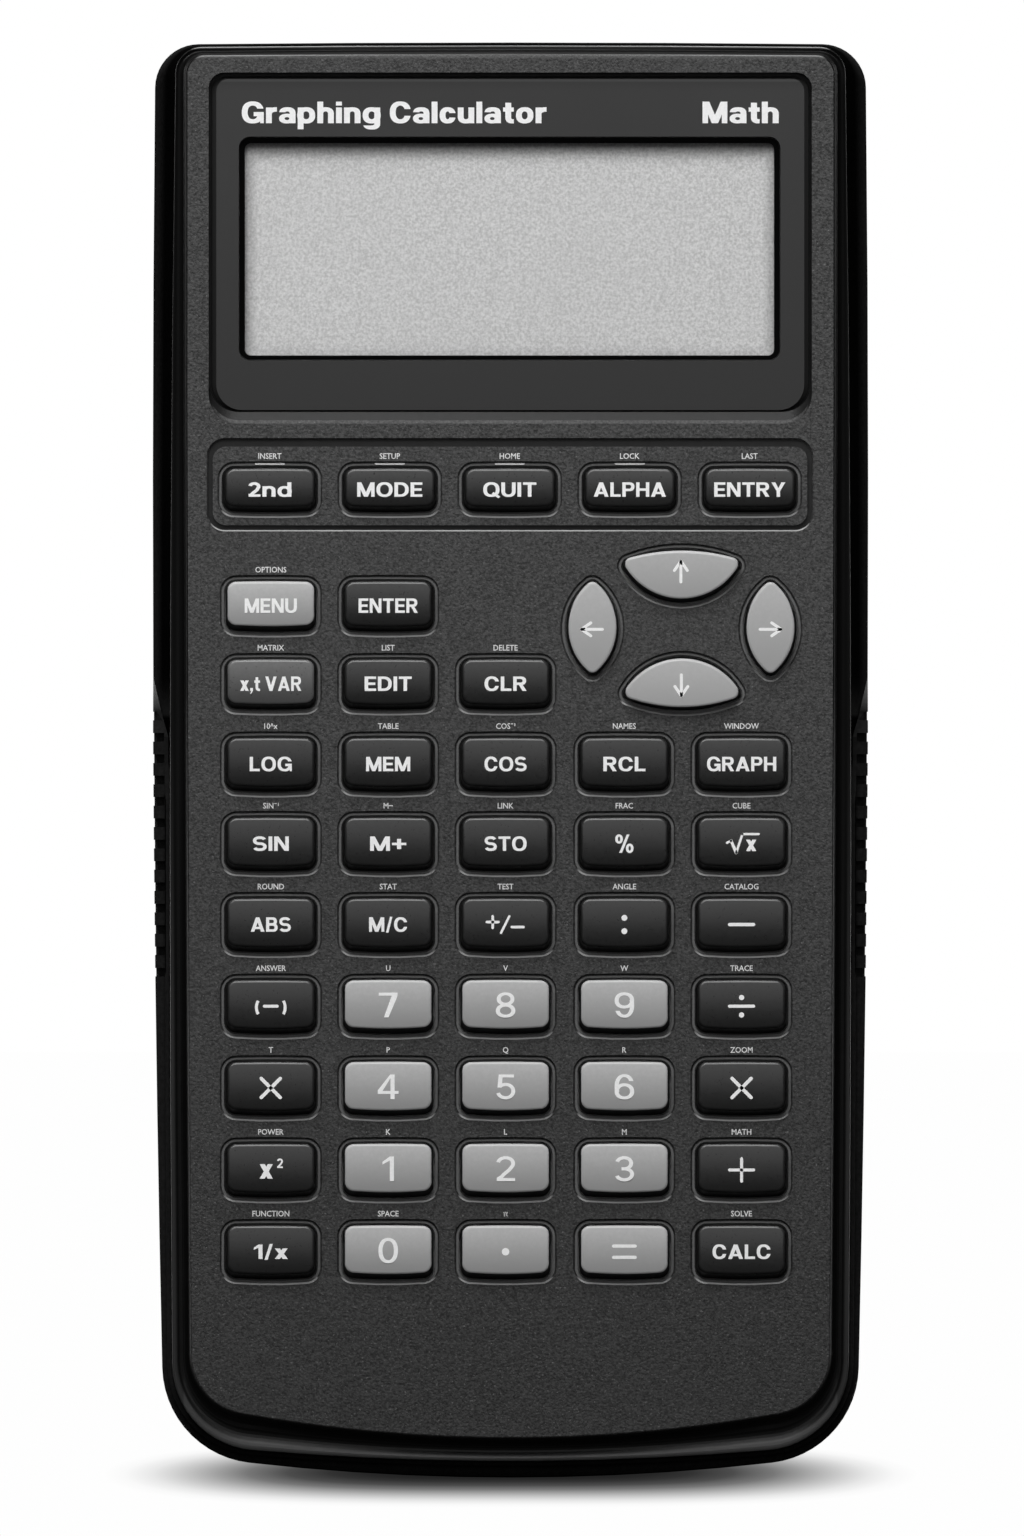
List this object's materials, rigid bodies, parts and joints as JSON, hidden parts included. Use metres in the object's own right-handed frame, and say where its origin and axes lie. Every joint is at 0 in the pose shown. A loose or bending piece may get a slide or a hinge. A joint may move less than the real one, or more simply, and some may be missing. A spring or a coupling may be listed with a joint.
{
  "type": "graphing calculator",
  "caption": "Hand-held graphing calculator with a recessed display, separate travelling keys, a lens-shaped arrow pad, ribbed side grips and a tilting battery door.",
  "frame": {"origin": "centre of the bottom end face line, half way through the thickness, with the calculator standing on its bottom end", "axes": "+Z along the length towards the display end, +X to the right when facing the keys, -Y out of the keys, +Y out of the back"},
  "size_m": [0.0862, 0.023, 0.173],
  "materials": {
    "case_front": "fine textured charcoal moulding",
    "case_rear": "satin black moulding",
    "clear_plate": "clear plastic with a dark printed border",
    "lcd": "grey-green reflective display",
    "board": "green laminate with black packages",
    "key_mat": "matt silicone rubber",
    "cell": "printed sleeve with bare metal ends",
    "contact": "nickel plated spring steel",
    "screw": "dark zinc",
    "foot": "matt black rubber",
    "key_light": "light grey satin",
    "key_arrow": "light grey satin",
    "key_mid": "mid grey satin",
    "key_dark": "dark grey satin"
  },
  "bodies": {
    "case": {"front_housing": "case_front", "rear_housing": "case_rear", "display_lens": "clear_plate", "lcd_module": "lcd", "circuit_board": "board", "keypad_mat": "key_mat", "battery_cells": "cell", "battery_contacts": "contact", "housing_screws": "screw", "rubber_feet": "foot"},
    "battery_door": {"battery_door": "case_rear"},
    "key_0": {"key_0": "key_light"},
    "key_1": {"key_1": "key_light"},
    "key_2": {"key_2": "key_light"},
    "key_3": {"key_3": "key_light"},
    "key_4": {"key_4": "key_light"},
    "key_5": {"key_5": "key_light"},
    "key_6": {"key_6": "key_light"},
    "key_7": {"key_7": "key_light"},
    "key_8": {"key_8": "key_light"},
    "key_9": {"key_9": "key_light"},
    "key_absolute": {"key_absolute": "key_dark"},
    "key_alpha": {"key_alpha": "key_dark"},
    "key_arrow_down": {"key_arrow_down": "key_arrow"},
    "key_arrow_left": {"key_arrow_left": "key_arrow"},
    "key_arrow_right": {"key_arrow_right": "key_arrow"},
    "key_arrow_up": {"key_arrow_up": "key_arrow"},
    "key_calculate": {"key_calculate": "key_dark"},
    "key_change_sign": {"key_change_sign": "key_dark"},
    "key_clear": {"key_clear": "key_dark"},
    "key_cosine": {"key_cosine": "key_dark"},
    "key_decimal_point": {"key_decimal_point": "key_light"},
    "key_divide": {"key_divide": "key_dark"},
    "key_edit": {"key_edit": "key_dark"},
    "key_enter": {"key_enter": "key_dark"},
    "key_entry": {"key_entry": "key_dark"},
    "key_equals": {"key_equals": "key_light"},
    "key_graph": {"key_graph": "key_dark"},
    "key_log": {"key_log": "key_dark"},
    "key_memory": {"key_memory": "key_dark"},
    "key_memory_add": {"key_memory_add": "key_dark"},
    "key_memory_clear": {"key_memory_clear": "key_dark"},
    "key_menu": {"key_menu": "key_light"},
    "key_minus": {"key_minus": "key_dark"},
    "key_mode": {"key_mode": "key_dark"},
    "key_multiply": {"key_multiply": "key_dark"},
    "key_negative": {"key_negative": "key_dark"},
    "key_percent": {"key_percent": "key_dark"},
    "key_plus": {"key_plus": "key_dark"},
    "key_quit": {"key_quit": "key_dark"},
    "key_ratio": {"key_ratio": "key_dark"},
    "key_recall": {"key_recall": "key_dark"},
    "key_reciprocal": {"key_reciprocal": "key_dark"},
    "key_root": {"key_root": "key_dark"},
    "key_second": {"key_second": "key_dark"},
    "key_sine": {"key_sine": "key_dark"},
    "key_square": {"key_square": "key_dark"},
    "key_store": {"key_store": "key_dark"},
    "key_variables": {"key_variables": "key_mid"},
    "key_x": {"key_x": "key_dark"}
  },
  "joints": [
    {"name": "battery_door_tilt", "type": "hinge", "parent": "case", "child": "battery_door", "pos_m": [0, 0.00995, 0.09495], "axis": [-1, 0, 0], "range_deg": [0, 70]},
    {"name": "key_0_press", "type": "slide", "parent": "case", "child": "key_0", "axis": [0, 1, 0], "range_m": [0, 0.001], "stiffness_N_per_m": 600, "deforming": ["keypad_mat"]},
    {"name": "key_1_press", "type": "slide", "parent": "case", "child": "key_1", "axis": [0, 1, 0], "range_m": [0, 0.001], "stiffness_N_per_m": 600, "deforming": ["keypad_mat"]},
    {"name": "key_2_press", "type": "slide", "parent": "case", "child": "key_2", "axis": [0, 1, 0], "range_m": [0, 0.001], "stiffness_N_per_m": 600, "deforming": ["keypad_mat"]},
    {"name": "key_3_press", "type": "slide", "parent": "case", "child": "key_3", "axis": [0, 1, 0], "range_m": [0, 0.001], "stiffness_N_per_m": 600, "deforming": ["keypad_mat"]},
    {"name": "key_4_press", "type": "slide", "parent": "case", "child": "key_4", "axis": [0, 1, 0], "range_m": [0, 0.001], "stiffness_N_per_m": 600, "deforming": ["keypad_mat"]},
    {"name": "key_5_press", "type": "slide", "parent": "case", "child": "key_5", "axis": [0, 1, 0], "range_m": [0, 0.001], "stiffness_N_per_m": 600, "deforming": ["keypad_mat"]},
    {"name": "key_6_press", "type": "slide", "parent": "case", "child": "key_6", "axis": [0, 1, 0], "range_m": [0, 0.001], "stiffness_N_per_m": 600, "deforming": ["keypad_mat"]},
    {"name": "key_7_press", "type": "slide", "parent": "case", "child": "key_7", "axis": [0, 1, 0], "range_m": [0, 0.001], "stiffness_N_per_m": 600, "deforming": ["keypad_mat"]},
    {"name": "key_8_press", "type": "slide", "parent": "case", "child": "key_8", "axis": [0, 1, 0], "range_m": [0, 0.001], "stiffness_N_per_m": 600, "deforming": ["keypad_mat"]},
    {"name": "key_9_press", "type": "slide", "parent": "case", "child": "key_9", "axis": [0, 1, 0], "range_m": [0, 0.001], "stiffness_N_per_m": 600, "deforming": ["keypad_mat"]},
    {"name": "key_absolute_press", "type": "slide", "parent": "case", "child": "key_absolute", "axis": [0, 1, 0], "range_m": [0, 0.001], "stiffness_N_per_m": 600, "deforming": ["keypad_mat"]},
    {"name": "key_alpha_press", "type": "slide", "parent": "case", "child": "key_alpha", "axis": [0, 1, 0], "range_m": [0, 0.001], "stiffness_N_per_m": 600, "deforming": ["keypad_mat"]},
    {"name": "arrow_down_press", "type": "slide", "parent": "case", "child": "key_arrow_down", "axis": [0, 1, 0], "range_m": [0, 0.001], "stiffness_N_per_m": 600, "deforming": ["keypad_mat"]},
    {"name": "arrow_left_press", "type": "slide", "parent": "case", "child": "key_arrow_left", "axis": [0, 1, 0], "range_m": [0, 0.001], "stiffness_N_per_m": 600, "deforming": ["keypad_mat"]},
    {"name": "arrow_right_press", "type": "slide", "parent": "case", "child": "key_arrow_right", "axis": [0, 1, 0], "range_m": [0, 0.001], "stiffness_N_per_m": 600, "deforming": ["keypad_mat"]},
    {"name": "arrow_up_press", "type": "slide", "parent": "case", "child": "key_arrow_up", "axis": [0, 1, 0], "range_m": [0, 0.001], "stiffness_N_per_m": 600, "deforming": ["keypad_mat"]},
    {"name": "key_calculate_press", "type": "slide", "parent": "case", "child": "key_calculate", "axis": [0, 1, 0], "range_m": [0, 0.001], "stiffness_N_per_m": 600, "deforming": ["keypad_mat"]},
    {"name": "key_change_sign_press", "type": "slide", "parent": "case", "child": "key_change_sign", "axis": [0, 1, 0], "range_m": [0, 0.001], "stiffness_N_per_m": 600, "deforming": ["keypad_mat"]},
    {"name": "key_clear_press", "type": "slide", "parent": "case", "child": "key_clear", "axis": [0, 1, 0], "range_m": [0, 0.001], "stiffness_N_per_m": 600, "deforming": ["keypad_mat"]},
    {"name": "key_cosine_press", "type": "slide", "parent": "case", "child": "key_cosine", "axis": [0, 1, 0], "range_m": [0, 0.001], "stiffness_N_per_m": 600, "deforming": ["keypad_mat"]},
    {"name": "key_decimal_point_press", "type": "slide", "parent": "case", "child": "key_decimal_point", "axis": [0, 1, 0], "range_m": [0, 0.001], "stiffness_N_per_m": 600, "deforming": ["keypad_mat"]},
    {"name": "key_divide_press", "type": "slide", "parent": "case", "child": "key_divide", "axis": [0, 1, 0], "range_m": [0, 0.001], "stiffness_N_per_m": 600, "deforming": ["keypad_mat"]},
    {"name": "key_edit_press", "type": "slide", "parent": "case", "child": "key_edit", "axis": [0, 1, 0], "range_m": [0, 0.001], "stiffness_N_per_m": 600, "deforming": ["keypad_mat"]},
    {"name": "key_enter_press", "type": "slide", "parent": "case", "child": "key_enter", "axis": [0, 1, 0], "range_m": [0, 0.001], "stiffness_N_per_m": 600, "deforming": ["keypad_mat"]},
    {"name": "key_entry_press", "type": "slide", "parent": "case", "child": "key_entry", "axis": [0, 1, 0], "range_m": [0, 0.001], "stiffness_N_per_m": 600, "deforming": ["keypad_mat"]},
    {"name": "key_equals_press", "type": "slide", "parent": "case", "child": "key_equals", "axis": [0, 1, 0], "range_m": [0, 0.001], "stiffness_N_per_m": 600, "deforming": ["keypad_mat"]},
    {"name": "key_graph_press", "type": "slide", "parent": "case", "child": "key_graph", "axis": [0, 1, 0], "range_m": [0, 0.001], "stiffness_N_per_m": 600, "deforming": ["keypad_mat"]},
    {"name": "key_log_press", "type": "slide", "parent": "case", "child": "key_log", "axis": [0, 1, 0], "range_m": [0, 0.001], "stiffness_N_per_m": 600, "deforming": ["keypad_mat"]},
    {"name": "key_memory_press", "type": "slide", "parent": "case", "child": "key_memory", "axis": [0, 1, 0], "range_m": [0, 0.001], "stiffness_N_per_m": 600, "deforming": ["keypad_mat"]},
    {"name": "key_memory_add_press", "type": "slide", "parent": "case", "child": "key_memory_add", "axis": [0, 1, 0], "range_m": [0, 0.001], "stiffness_N_per_m": 600, "deforming": ["keypad_mat"]},
    {"name": "key_memory_clear_press", "type": "slide", "parent": "case", "child": "key_memory_clear", "axis": [0, 1, 0], "range_m": [0, 0.001], "stiffness_N_per_m": 600, "deforming": ["keypad_mat"]},
    {"name": "key_menu_press", "type": "slide", "parent": "case", "child": "key_menu", "axis": [0, 1, 0], "range_m": [0, 0.001], "stiffness_N_per_m": 600, "deforming": ["keypad_mat"]},
    {"name": "key_minus_press", "type": "slide", "parent": "case", "child": "key_minus", "axis": [0, 1, 0], "range_m": [0, 0.001], "stiffness_N_per_m": 600, "deforming": ["keypad_mat"]},
    {"name": "key_mode_press", "type": "slide", "parent": "case", "child": "key_mode", "axis": [0, 1, 0], "range_m": [0, 0.001], "stiffness_N_per_m": 600, "deforming": ["keypad_mat"]},
    {"name": "key_multiply_press", "type": "slide", "parent": "case", "child": "key_multiply", "axis": [0, 1, 0], "range_m": [0, 0.001], "stiffness_N_per_m": 600, "deforming": ["keypad_mat"]},
    {"name": "key_negative_press", "type": "slide", "parent": "case", "child": "key_negative", "axis": [0, 1, 0], "range_m": [0, 0.001], "stiffness_N_per_m": 600, "deforming": ["keypad_mat"]},
    {"name": "key_percent_press", "type": "slide", "parent": "case", "child": "key_percent", "axis": [0, 1, 0], "range_m": [0, 0.001], "stiffness_N_per_m": 600, "deforming": ["keypad_mat"]},
    {"name": "key_plus_press", "type": "slide", "parent": "case", "child": "key_plus", "axis": [0, 1, 0], "range_m": [0, 0.001], "stiffness_N_per_m": 600, "deforming": ["keypad_mat"]},
    {"name": "key_quit_press", "type": "slide", "parent": "case", "child": "key_quit", "axis": [0, 1, 0], "range_m": [0, 0.001], "stiffness_N_per_m": 600, "deforming": ["keypad_mat"]},
    {"name": "key_ratio_press", "type": "slide", "parent": "case", "child": "key_ratio", "axis": [0, 1, 0], "range_m": [0, 0.001], "stiffness_N_per_m": 600, "deforming": ["keypad_mat"]},
    {"name": "key_recall_press", "type": "slide", "parent": "case", "child": "key_recall", "axis": [0, 1, 0], "range_m": [0, 0.001], "stiffness_N_per_m": 600, "deforming": ["keypad_mat"]},
    {"name": "key_reciprocal_press", "type": "slide", "parent": "case", "child": "key_reciprocal", "axis": [0, 1, 0], "range_m": [0, 0.001], "stiffness_N_per_m": 600, "deforming": ["keypad_mat"]},
    {"name": "key_root_press", "type": "slide", "parent": "case", "child": "key_root", "axis": [0, 1, 0], "range_m": [0, 0.001], "stiffness_N_per_m": 600, "deforming": ["keypad_mat"]},
    {"name": "key_second_press", "type": "slide", "parent": "case", "child": "key_second", "axis": [0, 1, 0], "range_m": [0, 0.001], "stiffness_N_per_m": 600, "deforming": ["keypad_mat"]},
    {"name": "key_sine_press", "type": "slide", "parent": "case", "child": "key_sine", "axis": [0, 1, 0], "range_m": [0, 0.001], "stiffness_N_per_m": 600, "deforming": ["keypad_mat"]},
    {"name": "key_square_press", "type": "slide", "parent": "case", "child": "key_square", "axis": [0, 1, 0], "range_m": [0, 0.001], "stiffness_N_per_m": 600, "deforming": ["keypad_mat"]},
    {"name": "key_store_press", "type": "slide", "parent": "case", "child": "key_store", "axis": [0, 1, 0], "range_m": [0, 0.001], "stiffness_N_per_m": 600, "deforming": ["keypad_mat"]},
    {"name": "key_variables_press", "type": "slide", "parent": "case", "child": "key_variables", "axis": [0, 1, 0], "range_m": [0, 0.001], "stiffness_N_per_m": 600, "deforming": ["keypad_mat"]},
    {"name": "key_x_press", "type": "slide", "parent": "case", "child": "key_x", "axis": [0, 1, 0], "range_m": [0, 0.001], "stiffness_N_per_m": 600, "deforming": ["keypad_mat"]}
  ]
}
